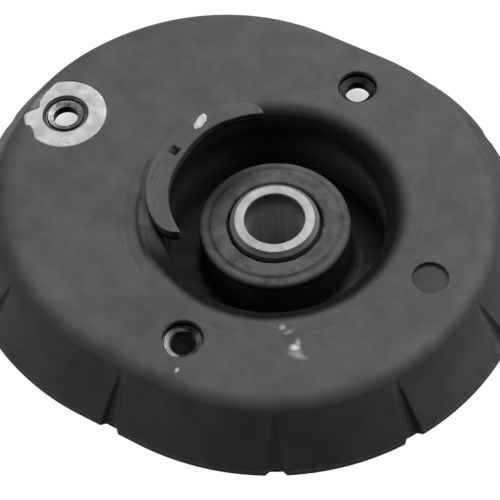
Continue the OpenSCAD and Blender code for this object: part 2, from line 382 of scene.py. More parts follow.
def jacket_rubber():
    """Moulded rubber: dull grey bloom on the open faces, near black where it is sheltered.

    Patches, and faint tool rings round the mouth, vary the bloom. The bloom mark also carries painted shade
    and painted light: darker in the recess, in creases, on groove walls and at the foot, lighter on shaded
    walls, and changed by direction over the shoulder. Specks, a painted highlight along the bead and the
    groove edges, the thin film over the end seat and pale spots are laid over it.
    """
    look = Shade("jacket_rubber")
    patches = look.noise(42, 5, 0.6)
    fine = look.noise(420, 4, 0.6)
    rings = look.product(look.ramp(look.rings(1000), 0.3, 0.7, -0.16, 0.16),
                         look.ramp(look.measure("LENGTH", look.plan()), 0.041, 0.033),
                         look.ramp(look.noise(70, 2), 0.45, 0.65))
    # The bloom mark mixes the real grey bloom with painted shade and painted light
    bloom_and_shade = look.product(look.mark("bloom_and_shade"), look.ramp(patches, 0.25, 0.75, 0.82, 1.11),
                         look.ramp(look.noise(170, 4, 0.6), 0.3, 0.7, 0.88, 1.08),
                         look.maths("ADD", rings, 1.0), 0.8)
    worn_and_shaded = look.blend(bloom_and_shade, grey(0.0055), grey(0.117))
    worn_and_shaded = look.blend(look.ramp(fine, 0.6, 0.78, 0.0, 0.16), worn_and_shaded, grey(0.11))
    # Painted highlight along the bead and the groove edges, from the bead mark
    edge_highlight = look.product(look.mark("bead"), look.ramp(look.noise(260, 4, 0.7), 0.5, 0.62, 0.0, 0.7))
    worn_and_shaded = look.blend(edge_highlight, worn_and_shaded, grey(0.13))
    film = look.product(look.mark("film"), look.ramp(look.noise(500, 4, 0.7), 0.4, 0.6, 0.05, 0.55))
    worn_and_shaded = look.blend(film, worn_and_shaded, grey(0.32))
    pale_spot = 0.0
    for *ellipse, strength in PALE_SPOTS:
        pale_spot = look.maths("MAXIMUM", pale_spot, look.product(look.smear(*ellipse), strength))
    pale_spot = look.product(pale_spot, look.ramp(look.noise(260, 4, 0.6), 0.35, 0.6, 0.55, 1.1))
    look.set(Base_Color=look.blend(pale_spot, worn_and_shaded, grey(0.75)), Specular_IOR_Level=0.14,
             Roughness=look.maths("ADD", look.ramp(patches, 0.2, 0.8, -0.07, 0.07),
                                  look.ramp(look.mark("bloom_and_shade"), 0.0, 1.0, 0.92, 0.58)))
    return look.bump(look.maths("ADD", look.noise(2600, 3, 0.7), look.product(fine, 1.5)), 0.25, 0.00006)


def bush_moulding_rubber():
    """Bonded bush rubber: dusty rings on top, black walls, and painted shade and light from the bloom mark.
    """
    look = Shade("bush_moulding_rubber")
    patches = look.noise(210, 5, 0.65)
    bloom_and_shade = look.product(look.mark("bloom_and_shade"), look.ramp(patches, 0.3, 0.7, 0.4, 1.4))
    look.set(Base_Color=look.blend(bloom_and_shade, grey(0.014), grey(0.11)), Specular_IOR_Level=0.2,
             Roughness=look.ramp(patches, 0.3, 0.7, 0.6, 0.75))
    return look.bump(look.maths("ADD", patches, look.noise(1500, 3, 0.6)), 0.35, 0.0001)


def turned_steel():
    """End-turned steel: tool rings crossed by short radial marks, duller down the bore, with painted shade
    under the bore's top edge.
    """
    look = Shade("turned_steel")
    rings = look.rings(9000)
    way = look.vector("NORMALIZE", look.plan())
    teeth = look.noise(22, 3, 0.6, way)
    bright = look.product(look.ramp(look.noise(180, 4, 0.6), 0.3, 0.7, 0.39, 0.26),
                          look.ramp(teeth, 0.35, 0.65, 0.93, 1.06))
    height = look.node("SeparateXYZ", {0: look.place}).outputs[2]
    # Painted shade: the dull wall is darkest under the top edge and lighter further down
    wall = look.product(look.ramp(height, 0.0095, 0.004, 0.115, 0.54),
                        look.ramp(look.noise(5, 3, 0.6, way), 0.35, 0.65, 0.85, 1.12))
    look.set(Base_Color=look.blend(look.mark("open"), look.even(wall), look.even(bright)),
             Metallic=look.ramp(look.mark("open"), 0.0, 1.0, 0.2, 0.6),
             Roughness=look.ramp(rings, 0.3, 0.7, 0.5, 0.62))
    return look.bump(look.maths("ADD", rings, teeth), 0.25, 0.00003)


def bare_steel():
    """Bare pressed steel of the end seat: pale, with dull stains and small dark nicks."""
    look = Shade("bare_steel")
    stain = look.noise(260, 5, 0.65)
    nicks = look.ramp(look.noise(620, 4, 0.65), 0.6, 0.7, 0.0, 0.75)
    pale = look.even(look.ramp(stain, 0.3, 0.72, 0.5, 0.38))
    look.set(Base_Color=look.blend(nicks, pale, grey(0.18)), Metallic=0.35,
             Roughness=look.ramp(stain, 0.3, 0.7, 0.42, 0.62))
    return look.bump(stain, 0.25, 0.00008)


def nut_steel():
    """Phosphated weld nut: dark dull faces, and bare metal where it is cut, laid on by side as a painted
    highlight.
    """
    look = Shade("nut_steel")
    mottle = look.noise(700, 4, 0.6)
    dark = look.even(look.ramp(mottle, 0.3, 0.7, 0.02, 0.05))
    cut = look.product(look.mark("cut"), look.ramp(look.noise(900, 4, 0.7), 0.35, 0.6, 0.35, 1.1))
    look.set(Base_Color=look.blend(cut, dark, grey(0.62)), Metallic=0.85,
             Roughness=look.ramp(mottle, 0.3, 0.7, 0.35, 0.55))
    return look.bump(mottle, 0.2, 0.00004)


def coated_plate():
    """Dip-coated pressing: dark satin grey, with a faint orange peel and thin spots."""
    look = Shade("coated_plate")
    blotch = look.noise(60, 4, 0.6)
    look.set(Base_Color=look.even(look.ramp(blotch, 0.3, 0.7, 0.05, 0.075)), Metallic=0.25,
             Roughness=look.ramp(blotch, 0.3, 0.7, 0.36, 0.48))
    return look.bump(look.noise(900, 2, 0.5), 0.15, 0.00006)


def chalk_paint():
    """Thin dried dab of pale marking paint."""
    look = Shade("chalk_paint")
    crack = look.noise(1500, 4, 0.6)
    look.set(Base_Color=look.even(look.ramp(crack, 0.3, 0.7, 0.46, 0.72)), Roughness=0.7)
    return look.bump(crack, 0.3, 0.00008)


# Shape of the rubber jacket

def groove_offset(x, y):
    """Distance along the rim, at the rim radius, from a point of the plan to the nearest groove."""
    near = np.degrees(np.arctan2(y, x))
    near = np.abs(near - np.clip(np.round(near / GROOVE_STEP), -2, 2) * GROOVE_STEP)
    far = np.degrees(np.arctan2(y, x + STRETCH)) % 360
    far = np.abs(far - np.clip(np.round(far / GROOVE_STEP), 4, 8) * GROOVE_STEP)
    straight = np.abs(x + STRETCH / 2)
    return np.select([x > 0, x < -STRETCH], [np.radians(near) * RIM, np.radians(far) * RIM], straight)


def rim_stations():
    """Stations round the long-round rim: centre and direction of each.

    The rim is half a turn about each of its two centres with a straight between them on each side,
    walked at the rim radius. Stations lie close together across the grooves.
    """
    half = math.pi * RIM
    total = 2 * (half + STRETCH)

    def place(walk):
        """Centre and direction at a way walked from the start of the first half turn."""
        along = [walk < half, walk < half + STRETCH, walk < 2 * half + STRETCH]
        centre = np.select(along, [0 * walk, half - walk, 0 * walk - STRETCH], walk - total)
        angle = np.select(along, [walk / RIM - math.pi / 2, 0 * walk + math.pi / 2,
                                  math.pi / 2 + (walk - half - STRETCH) / RIM], 1.5 * math.pi)
        return centre, angle

    def steps(step, nearest, farthest):
        """Ways walked in even steps, kept where a groove is no nearer and no farther than this."""
        walk = np.arange(0, total, step)
        centre, angle = place(walk)
        gap = groove_offset(centre + RIM * np.cos(angle), RIM * np.sin(angle))
        return walk[(gap >= nearest) & (gap < farthest)]

    beside = 1.1 + GROOVE
    return place(np.sort(np.concatenate([steps(1.0, beside, math.inf), steps(0.2, 0.0, beside)])))


def rim_distance(x, y):
    """Distance from the straight that joins the two rim centres."""
    return np.hypot(x - np.clip(x, -STRETCH, 0), y)


def top_height(x, y):
    """Height of the top: flat, then the shoulder circle, with waves of a few hundredths on the flat."""
    out = np.clip(rim_distance(x, y) - FLAT, 0, SHOULDER - 0.05)
    height = TOP - SHOULDER + np.sqrt(SHOULDER ** 2 - out ** 2)
    wave = np.sin(x * 0.21 + 1.3) * np.cos(y * 0.17 - 0.4) + 0.6 * np.sin(0.43 * y + 0.11 * x)
    return height + 0.03 * wave * smooth_step(FLAT - rim_distance(x, y), 0, 6)


def lug_swell(angle):
    """Small swelling of the lug's inner edge about its middle: a bell curve by direction."""
    return 0.6 * hump(np.degrees(angle), LUG_MIDDLE, 14)


def lug_inner(angle):
    """Radius of the lug's inner edge about the strut axis: a circle that is off that axis."""
    along = LUG_X * np.cos(angle) + LUG_Y * np.sin(angle)
    return along + np.sqrt(along ** 2 - LUG_X ** 2 - LUG_Y ** 2 + LUG_CIRCLE ** 2) - lug_swell(angle)


def lug_width(angle):
    """Width of the lug: full along its length and drawn in to nothing at both rounded ends."""
    share = np.clip((np.degrees(angle) - LUG_START) / LUG_SWEEP, 0, 1)
    outward = 0.45 * hump(np.degrees(angle), 196, 12)
    ends = np.sqrt(np.clip(1 - np.abs(2 * share - 1) ** 6, 0, None))
    return (LUG_WIDTH + lug_swell(angle) + outward) * ends


def lug_outer(angle):
    """Radius of the lug's outer edge about the strut axis."""
    return lug_inner(angle) + lug_width(angle)


def skirt_part(stations):
    """Skirt: a profile of lip, bead, slope and shoulder carried round the rim, with grooves.

    A groove takes the profile in by its depth less a square of the distance across it. It is deepest
    and widest at the foot and runs out at the shoulder. Two of the grooves are faint.
    """
    centre, angle = stations
    offset = groove_offset(centre + RIM * np.cos(angle), RIM * np.sin(angle))
    lean, turn = math.tan(SKIRT_NORMAL), math.degrees(SKIRT_NORMAL)
    inside = RIM - SKIRT_WALL / math.cos(SKIRT_NORMAL) + BEAD * lean
    lip = np.concatenate([line((inside - 3.6 * lean, 3.6), (inside - 0.5 * lean, 0.5), 3),
                          line((inside + 0.15, 0.1), (inside + 0.5, 0), 2)])
    bead = arc(RIM - BEAD, BEAD, BEAD, -90, 2 * turn, 12)
    top_turn = math.degrees(math.acos((EDGE - FLAT) / SHOULDER))
    shoulder = arc(FLAT, TOP - SHOULDER, SHOULDER, turn, top_turn, 4)
    slope = bead[-1] + (shoulder[0] - bead[-1]) * np.linspace(0, 1, 32)[:, None] ** 1.35
    profile = np.concatenate([lip, bead, slope[1:], shoulder[1:]])
    radius, height = profile.T[:, :, None]
    rise = np.clip((height - BEAD) / (shoulder[0, 1] - BEAD), 0, 1)
    half_width = np.maximum(GROOVE * np.sqrt(1 - rise), 0.05)
    cut = GROOVE_DEPTH * (1 - rise) ** 0.8 * (1 - (offset / half_width) ** 2)
    # Rounded edges: the greater of the cut and 0, softened, with its last trace taken off
    cut = 0.5 * (cut + np.sqrt(cut ** 2 + 0.006))
    faint = hump(np.degrees(angle), 60, 8) * (centre > -0.01) + hump(np.degrees(angle), 180, 8)
    cut = cut * (1 - 0.85 * faint)
    cut = np.where(cut < 0.004, 0, cut - 0.004) * smooth_step(1 - rise, 0.0, 0.06)
    grooved = np.maximum(radius - cut, inside - lean * height + 0.35)
    on_lip = np.arange(len(profile))[:, None] < len(lip)
    return grid(spun(np.where(on_lip, radius, grooved), height, angle, centre), closed_v=True)


def mouth_part():
    """Mouth of the recess: flat apron, a quarter circle and the wall, turned about the strut axis.

    A narrow crease, a bell curve across it, follows the outer edge of the lug.
    """
    profile = np.concatenate([line((APRON, TOP), (RECESS + MOUTH, TOP), 16),
                              arc(RECESS + MOUTH, TOP - MOUTH, MOUTH, 90, 180, 40)[1:],
                              line((RECESS, TOP - MOUTH), (RECESS, WEB_TOP - 0.2), 9)[1:]])
    angle = around(MOUTH_COUNT)
    radius, height = profile.T[:, :, None]
    x, y = radius * np.cos(angle), radius * np.sin(angle)
    on_apron = height > TOP - 1e-6
    height = np.where(on_apron, top_height(x, y), height)
    crease = 0.2 * hump(radius, lug_outer(angle) + 0.5, 0.45)
    height = height - crease * between(np.degrees(angle), 172, 184, 222, 227)
    return grid(spun(radius, height, angle), closed_v=True)


def draped(profile, x, y):
    """A profile turned about x, y that follows the waves of the top instead of a true plane."""
    points, quads = turned(profile, HOLE_COUNT, x, y)
    points[:, 2] += top_height(points[:, 0], points[:, 1]) - TOP
    return points, quads


def hole_part(y):
    """Lip of a side hole: a quarter circle into a straight wall."""
    lip = arc(SIDE_HOLE + HOLE_LIP, TOP - HOLE_LIP, HOLE_LIP, 90, 180, 7)
    return draped(np.concatenate([lip, [(SIDE_HOLE, TOP - HOLE_DEPTH)]]), 0, y)


def dimple_part():
    """Blind dimple: a small lip, a wall, a small inner rounding and a flat floor."""
    floor = TOP - DIMPLE_DEPTH
    profile = np.concatenate([arc(DIMPLE_RADIUS + DIMPLE_LIP, TOP - DIMPLE_LIP, DIMPLE_LIP, 90, 180, 5),
                              arc(DIMPLE_RADIUS - 0.2, floor + 0.2, 0.2, 0, -90, 5),
                              line((DIMPLE_RADIUS - 0.8, floor), (0, floor), 5)])
    return draped(profile, DIMPLE, 0)


def seat_film(angle):
    """How far the rubber runs in over the end seat: a wide tongue, a step and a thin edge.

    Straights join a few depths by direction, and three waves make the edge ragged.
    """
    turn = np.degrees(angle) % 360
    depth = np.interp(turn,
                      [122, 134, 148, 162, 182, 194, 198, 202, 206, 211, 229, 231, 240, 248, 253, 257],
                      [0.05, 0.25, 1.4, 2.1, 2.9, 3.4, 2.7, 2.0, 0.8, 0.05, 0.05, 1.2, 1.45, 1.0, 0.35, 0.05])
    rag = 0.12 * np.sin(turn * 0.31) + 0.1 * np.sin(turn * 0.83 + 1) + 0.07 * np.sin(turn * 1.7)
    return np.clip(depth + rag * (0.2 + 0.4 * np.minimum(depth, 1)), 0.02, None)


def seat_edge(angle):
    """Radius about the end fixing where the rubber stops and the bare steel begins."""
    return SEAT_RING + 0.05 - seat_film(angle)


def seat_lip_part():
    """Rubber round the end seat: the top carried on to the edge of the bare steel, then a wall down."""
    angle = around(SEAT_COUNT)
    inner = seat_edge(angle)
    wall_foot = 0 * angle + 12.0
    share = np.linspace(0, 1, 9)[:, None]
    radius = (SEAT_RING + SEAT_GAP) * (1 - share) + inner * share
    height = top_height(END + radius * np.cos(angle), radius * np.sin(angle)) - 0.06 * share ** 12
    radius = np.concatenate([radius, [inner - 0.03, inner - 0.03]])
    height = np.concatenate([height, [height[-1] - 0.08, wall_foot]])
    return grid(spun(radius, height, angle, END), closed_v=True)


OPENINGS = ((0.0, 0.0, APRON, MOUTH_COUNT), (0.0, SIDE, SIDE_HOLE + HOLE_LIP, HOLE_COUNT),
            (0.0, -SIDE, SIDE_HOLE + HOLE_LIP, HOLE_COUNT),
            (DIMPLE, 0.0, DIMPLE_RADIUS + DIMPLE_LIP, HOLE_COUNT),
            (END, 0.0, SEAT_RING + SEAT_GAP, SEAT_COUNT))  # x, y, radius and points of each edge ring


def top_part(stations):
    """Top between the skirt, the mouth and the openings: a height over a triangle net.

    The net holds every edge ring, rings of points over the shoulder and round the end seat, and a
    staggered field inside.
    """
    centre, angle = stations

    def round_loop(x, y, radius, count):
        """Plan points round a circle."""
        return spun(radius, 0.0, around(count), x, y)[:, :2]

    def rim_loop(radius, step=1):
        """Plan points round the rim at a radius, one for each station or for every few."""
        return spun(radius, 0.0, angle, centre)[::step, :2]

    def loop_edges(count, first):
        """Pairs of point numbers that close a loop."""
        number = np.arange(count)
        return np.stack([number, (number + 1) % count], -1) + first

    loops = [rim_loop(EDGE)] + [round_loop(*opening) for opening in OPENINGS]
    counts = [len(loop) for loop in loops]
    edges = np.concatenate([loop_edges(count, sum(counts[:k])) for k, count in enumerate(counts)])
    shoulder = [rim_loop(FLAT + way, 2) for way in (0.0, 0.55, 1.1, 1.6, 2.05, 2.45, 2.8)]
    field_x, field_y = np.meshgrid(np.arange(-64, 49, 1.5), np.arange(-49, 49, 1.3))
    field_x = field_x + 0.75 * (np.arange(len(field_x)) % 2)[:, None]
    field = np.stack([field_x.ravel(), field_y.ravel()], -1)
    field = field[rim_distance(*field.T) < FLAT - 0.6]
    near_seat = [round_loop(END, 0, SEAT_RING + way, 160) for way in (0.55, 0.95, 1.45, 2.0, 2.7)]
    near_seat = np.concatenate(near_seat)
    near_seat = near_seat[rim_distance(*near_seat.T) < EDGE - 0.25]
    inside = np.concatenate(shoulder + [field, near_seat])
    for x, y, radius, _ in OPENINGS:
        inside = inside[np.hypot(inside[:, 0] - x, inside[:, 1] - y) > radius + 0.22]
    plan = np.concatenate(loops + [inside])
    found, _, faces, _, _, _ = delaunay_2d_cdt(plan.tolist(), edges.tolist(), [], 0, 1e-5)
    found, faces = np.array(found), np.array(faces)
    middle = found[faces].mean(1)
    keep = rim_distance(*middle.T) < EDGE
    for x, y, radius, count in OPENINGS:
        keep &= np.hypot(middle[:, 0] - x, middle[:, 1] - y) > radius * math.cos(math.pi / count)
    faces = faces[keep]
    a, b, c = np.moveaxis(found[faces], 1, 0)
    flip = (b[:, 0] - a[:, 0]) * (c[:, 1] - a[:, 1]) < (b[:, 1] - a[:, 1]) * (c[:, 0] - a[:, 0])
    faces[flip] = faces[flip][:, ::-1]
    return np.column_stack([found, top_height(*found.T)]), faces


def lean_out(part):
    """The soft rim stands out or in by parts of a millimetre, by direction about the rim centres.

    The shift is a sum of waves and of bell curves, and it grows from the end of the flat outwards.
    """
    points, faces = part
    x, y = points[:, 0], points[:, 1]
    out = np.maximum(rim_distance(x, y), 1e-6)
    way_x, way_y = (x - np.clip(x, -STRETCH, 0)) / out, y / out
    way = np.arctan2(way_y, way_x)
    shift = (0.19 - 0.37 * way_x - 0.45 * way_y - 0.07 * np.cos(2 * way) - 0.14 * np.sin(2 * way)
             - 0.17 * np.sin(3 * way))
    for turn, width, by in RIM_SWELLS:
        shift = shift + by * hump((np.degrees(way) - turn + 180) % 360, 180, width)
    shift = shift * smooth_step(out, FLAT - 2, RIM - 5)
    return points + np.stack([shift * way_x, shift * way_y, 0 * shift], -1), faces


# Wear, painted light and painted shade of the rubber jacket

def mouth_bloom_and_shade(x, y, z, turn):
    """Bloom about the mouth, full on the top, with painted shade and painted light in it.

    Inside the mouth it goes to near black, partly clean rubber and partly painted shade of the recess.
    Painted light comes back below the lug's end, faintly on the back wall and low on the wall of the recess.
    The change goes between two radii, larger on the near side and below the lug's end, where the painted
    shade reaches further. A shelf beside the lug keeps its bloom. Painted shade in a crease along the lug, a
    painted shadow past its end and a scored line take some off, and the dimple's floor gets painted shade.
    """
    far, way = np.hypot(x, y), np.radians(turn)
    lug_edge = lug_outer(way)
    shade = hump(turn, 227, 14)
    # Painted shade: the bloom gives way to near black at the mouth, further out on the near side and below
    # the lug's end
    bloom_and_shade = smooth_step(far, 27.8 + 1.1 * np.cos(way - 4.97) + 1.2 * shade, 31.3 + 1.3 * shade)
    # Painted light below the lug's end and, faintly, on the back wall of the recess
    bloom_and_shade = np.maximum(bloom_and_shade, 0.55 * hump(turn, 221, 10) * smooth_step(far, 25, 27))
    bloom_and_shade = np.maximum(bloom_and_shade, 0.06 * smooth_step(np.cos(way - 1.9), -0.3, 0.5))
    shelf = between(turn, 184, 190, 216, 224) * smooth_step(far, lug_edge - 1, lug_edge + 0.3)
    bloom_and_shade = np.maximum(bloom_and_shade, 0.85 * shelf)
    # Painted light low on the wall of the recess, strongest at the back
    low_wall_light = (1 - smooth_step(z, 4, 12)) * (far < RECESS + MOUTH)
    bloom_and_shade = bloom_and_shade + (0.72 + 0.56 * np.cos(way - 1.4)) * (1 - 0.7 * hump(turn, 234, 20)) * low_wall_light
    # Painted shade in the crease along the lug and a painted shadow past its end
    crease = between(turn, 178, 186, 206, 214) * hump(far, lug_edge + 0.8, 0.7)
    painted_shadow_past_end = between(turn, 197, 205, 228, 242) * (0.6 * hump(far, 31.1, 0.55) + 0.15 * hump(far, 33, 2))
    score = between(turn, 262, 280, 300, 318) * hump(far, 34.4, 0.4)
    bloom_and_shade = bloom_and_shade * (1 - 0.45 * crease) * (1 - painted_shadow_past_end) * (1 - 0.14 * score)
    # Painted shade on the dimple's floor
    return np.where(np.hypot(x - DIMPLE, y) < DIMPLE_RADIUS + 0.1, 0.68, bloom_and_shade)


def skirt_shade_share(x, y, z, turn):
    """Share of the bloom on the skirt: painted shade on the walls of the grooves and a painted shadow at the
    foot.

    The painted shade on the walls is a bell curve across each wall, darker in two grooves. One groove is
    lighter in its middle.
    """
    rise = np.clip((z - BEAD) / GROOVE_RISE, 0, 1)
    offset = groove_offset(x, y)
    # Painted shade on the groove walls and a painted shadow along the foot
    groove_wall_shade = 0.3 + 0.3 * hump(turn, 263, 10) + 0.3 * hump(turn, 330, 10)
    wall = hump(offset, 0.75 * GROOVE * np.sqrt(1 - rise), 0.6) * (1 - rise ** 4)
    groove_lift = 0.4 * hump(turn, 300, 6) * hump(offset, 0, 1.6) * (1 - rise)
    foot_shadow = 1 - smooth_step(z, 0.3, 1.1)
    share = (1 - groove_wall_shade * wall) * (1 + groove_lift) * (1 - 0.9 * foot_shadow)
    return np.where(rim_distance(x, y) > EDGE, share, 1)


def shoulder_painted_light(x, y, turn):
    """Painted light and shade over the shoulder and the skirt by direction, as a share of the bloom.

    Painted shade at the back, on the left shoulder and just past the right one, painted light along the front
    left and right edges of the flat, a painted highlight on the right shoulder, and a few wide painted tones
    round the skirt.
    """
    out, way = rim_distance(x, y), np.radians(turn)
    back = smooth_step(np.cos(way - 1.75), 0.1, 0.7) * smooth_step(out, FLAT + 1, EDGE + 1)
    left = hump(out, FLAT + 2, 2.7) * hump(turn, 212, 36)
    right = facing(way, 0.15, 4)
    past_right = right * between(out, FLAT + 1.4, FLAT + 2.6, FLAT + 4, FLAT + 8)
    light = 0.2 * hump(out, FLAT - 2, 3.5) * hump(turn, 241, 16)
    light = light + right * (0.05 * hump(out, FLAT, 6) + 0.14 * hump(out, FLAT + 0.3, 1.4))
    for middle, width, by in SKIRT_LIGHT:
        light = light + by * smooth_step(out, EDGE, EDGE + 1.5) * hump(turn, middle, width)
    return (1 - 0.4 * back) * (1 - 0.42 * left) * (1 - 0.25 * past_right) * (1 + light)


def jacket_bloom_and_shade(place):
    """Bloom of the jacket with its painted shade and light: that about the mouth times the shares of the
    skirt and the shoulder.
    """
    x, y, z = place.T
    turn = np.degrees(np.arctan2(y, x)) % 360
    return mouth_bloom_and_shade(x, y, z, turn) * skirt_shade_share(x, y, z, turn) * shoulder_painted_light(x, y, turn)


def jacket_edge_highlight(place):
    """Painted highlight along the bead's upper edge and along the edges of the grooves."""
    x, y, z = place.T
    rise = np.clip((z - BEAD) / GROOVE_RISE, 0, 1)
    groove_edge = hump(groove_offset(x, y), GROOVE * np.sqrt(1 - rise) + 0.25, 0.35) * (1 - rise ** 6)
    return np.maximum(hump(z, 1.75, 0.3), 0.5 * groove_edge) * (rim_distance(x, y) > EDGE)


def jacket_film(place):
    """Thin rubber over the end seat: 1 near the fixing and 0 from the edge of the seat outwards."""
    ring = np.hypot(place[:, 0] - END, place[:, 1])
    return (1 - smooth_step(ring, SEAT_RING - 1.6, SEAT_RING - 0.3)) * (place[:, 2] > SEAT_UNDER)


stations = rim_stations()
jacket = jacket_rubber()
make_piece("rubber_jacket",
           [lean_out(skirt_part(stations)), lean_out(top_part(stations)), mouth_part(),
            lean_out(seat_lip_part()), hole_part(SIDE), hole_part(-SIDE), dimple_part()],
           jacket, "mount", ["rubber_cover"],
           marks={"bloom_and_shade": jacket_bloom_and_shade, "bead": jacket_edge_highlight, "film": jacket_film})


# Lug over the edge of the recess

def lug_part(along=320, across=44):
    """Crescent lug: a box section with rounded top edges carried round the strut axis.

    Near an edge the top falls by the height of a small circle. A square pit is pressed into the top.
    """
    angle = np.radians(np.linspace(LUG_START, LUG_START + LUG_SWEEP, along))
    over = 0.5 + 0.5 * np.cos(np.linspace(0, math.pi, across))
    share = np.concatenate([[0, 0.5, 1, 1], over, [0]])[:, None]
    low = np.concatenate([[1, 1, 1, 0.4], 0 * over, [0.4]])[:, None]
    width = lug_width(angle)
    radius = lug_inner(angle) + width * share
    edge = np.clip(LUG_ROUND - np.minimum(share, 1 - share) * width, 0, LUG_ROUND)
    drop = LUG_ROUND - np.sqrt(LUG_ROUND ** 2 - edge ** 2)
    sunk = 0.08 * (1 - smooth_step(np.degrees(angle), 135, 185))
    from_middle = angle - math.radians(LUG_MIDDLE)
    pit = np.maximum(np.abs(radius * np.cos(from_middle) - PIT), np.abs(radius * np.sin(from_middle)))
    drop = drop + 1.2 * (1 - smooth_step(pit, 0.9, 1.15))
    height = LUG_TOP - sunk - np.where(low > 0, LUG_DEPTH * low, drop)
    return grid(spun(radius, height, angle), closed_u=True)


def lug_bloom_and_light(place):
    """Bloom of the lug: full on top, with a painted highlight along its outer edge and painted light down its
    shaded sides.
    """
    x, y, z = place.T
    inward = lug_outer(np.arctan2(y, x) % (2 * math.pi)) - np.hypot(x, y)
    top = smooth_step(z, LUG_TOP - 0.7, LUG_TOP - 0.2) * (1.1 + 0.12 * hump(inward, 0.4, 0.5))
    # Painted light on the lug's sides, which are in shade
    return np.maximum(top, 1.25 * (z < LUG_TOP - 0.6))


make_piece("edge_lug", [lug_part()], jacket, "mount",
           marks={"bloom_and_shade": lug_bloom_and_light})


def fleck_part(count=40, rows=9):
    """Paint dab: a blunt oval dome with a wavy edge, its long half a power of the sine of the turn."""
    angle = around(count)
    share = np.linspace(1, 0, rows)[:, None]
    edge = share * (1 + 0.06 * np.sin(3 * angle + 1) + 0.05 * np.sin(7 * angle))
    x = FLECK_X + (1.1 - 0.15 * np.sin(angle)) * edge * np.cos(angle) - 0.1 * share * np.sin(angle)
    y = FLECK_Y + 2.45 * edge * np.sign(np.sin(angle)) * np.abs(np.sin(angle)) ** 0.75
    z = LUG_TOP - 0.12 + 0.26 * np.sqrt(np.clip(1 - share ** 4, 0, 1)) + 0 * angle
    return grid(np.stack([x, y, z], -1), closed_v=True)


make_piece("paint_fleck", [fleck_part()], chalk_paint(), "mount")


# Bonded bush

def bush_profile():
    """Bush: collar and web in the cup, then the hub with a round outer ring, a fine line and a wide ring."""
    top = HUB_TOP
    return np.concatenate([
        [(SLEEVE_OUT, COLLAR_END)], line((11.0, COLLAR_END), (COLLAR - 0.35, COLLAR_END), 3),
        [(COLLAR, COLLAR_END + 0.35), (COLLAR, WEB_UNDER), (25.9, WEB_UNDER), (27.4, -8.4)],
        [(WEB_EDGE, -7.0), (WEB_EDGE, WEB_TOP)], line((27.9, WEB_TOP), (19.6, WEB_TOP), 36),
        arc(HUB + 1.7, WEB_TOP + 1.6, 1.6, 270, 180, 7)[1:],
        line((HUB + 0.1, -1.5), (HUB, top - 2.6), 8), arc(HUB - 1.2, top - 1.5, 1.2, 0, 80, 10),
        line((HUB_LINE + 0.4, top - 0.27), (HUB_LINE + 0.3, top - 0.3), 2),
        [(HUB_LINE + 0.15, top - 0.36), (HUB_LINE, top - 0.4), (HUB_LINE - 0.2, top - 0.36)],
        arc(HUB_LINE - 1.05, top - 0.75, 0.75, 40, 90, 5), line((13.9, top + 0.03), (12.2, top - 0.02), 5),
        arc(HUB_LIP + 0.75, top - 0.75, 0.75, 85, 180, 8),
        line((HUB_LIP - 0.01, top - 1.1), (HUB_LIP - 0.05, top - 1.9), 3),
        line((HUB_LIP - 0.25, top - 2.1), (SLEEVE_OUT, top - 2.05), 3)])


def bush_part(count=240):
    """The profile turned about the strut axis, with a ragged inner lip: three waves round the turn."""
    angle = around(count)
    radius, height = bush_profile().T[:, :, None]
    rag = 0.03 * np.sin(9 * angle + 1) + 0.04 * np.sin(17 * angle) + 0.04 * np.sin(31 * angle + 2)
    lip = hump(radius, HUB_LIP + 0.25, 0.5) * smooth_step(height, HUB_TOP - 2.0, HUB_TOP - 0.8)
    return grid(spun(radius + rag * lip, height, angle), closed_u=True, closed_v=True)


def hub_bloom_and_shade(place):
    """Dust on the rings of the hub, with painted shade on one side and in the fine line, and painted light on
    the hub's near wall.

    On the web there are a moulding line over part of the turn and a round blob.
    """
    x, y, z = place.T
    far, turn = np.hypot(x, y), np.degrees(np.arctan2(y, x))
    way = np.radians(turn)
    # Painted shade in the fine line between the rings
    ring = smooth_step(z, HUB_TOP - 1.6, HUB_TOP - 0.3) * (1 - 0.35 * hump(far, HUB_LINE - 0.05, 0.4))
    # Painted shade on one side of the rings
    ring = ring * (1 - smooth_step(far, 10, 14.8) * facing(way, math.radians(172), 3.6))
    # Painted light on the hub's near wall, which is in shade
    on_wall = (z < HUB_TOP - 1.6) & (far > HUB - 1.5)
    near_wall_light = 0.5 * smooth_step(np.cos(way + math.radians(56)), 0.1, 0.7) * on_wall
    moulding_line = 0.5 * hump(far, 19.9, 0.25) * between(turn, -14, -8, 28, 36)
    blob = np.exp(-((x - 21.3) ** 2 + (y - 7.1) ** 2) / 0.5)
    on_web = np.maximum(moulding_line, blob) * (z < WEB_TOP + 0.1)
    return np.maximum(np.maximum(ring, near_wall_light), on_web)


bush = make_piece("bush_moulding", [bush_part()], bush_moulding_rubber(), None,
                  ["bush_rubber"], sharp=50, marks={"bloom_and_shade": hub_bloom_and_shade})
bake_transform(bush)


# Sleeve

def sleeve_profile():
    """Sleeve: a tube with a wide chamfer round its top and small broken edges."""
    out, bore, top, end = SLEEVE_OUT, SLEEVE_BORE, SLEEVE_TOP, SLEEVE_END
    return np.concatenate([
        arc(out - 0.35, end + 0.35, 0.35, -90, 0, 5), line((out, end + 1.1), (out, top - 1.3), 12),
        arc(out - 0.3, top - 1.15, 0.3, 0, 45, 4), line((out - 0.4, top - 0.75), (out - 0.9, top - 0.25), 4),
        arc(out - 1.2, top - 0.2, 0.2, 45, 90, 4), line((out - 1.7, top), (bore + 0.65, top), 4),
        arc(bore + 0.25, top - 0.25, 0.25, 90, 180, 5), line((bore, top - 0.6), (bore, end + 0.6), 14),
        arc(bore + 0.25, end + 0.25, 0.25, 180, 270, 5)])


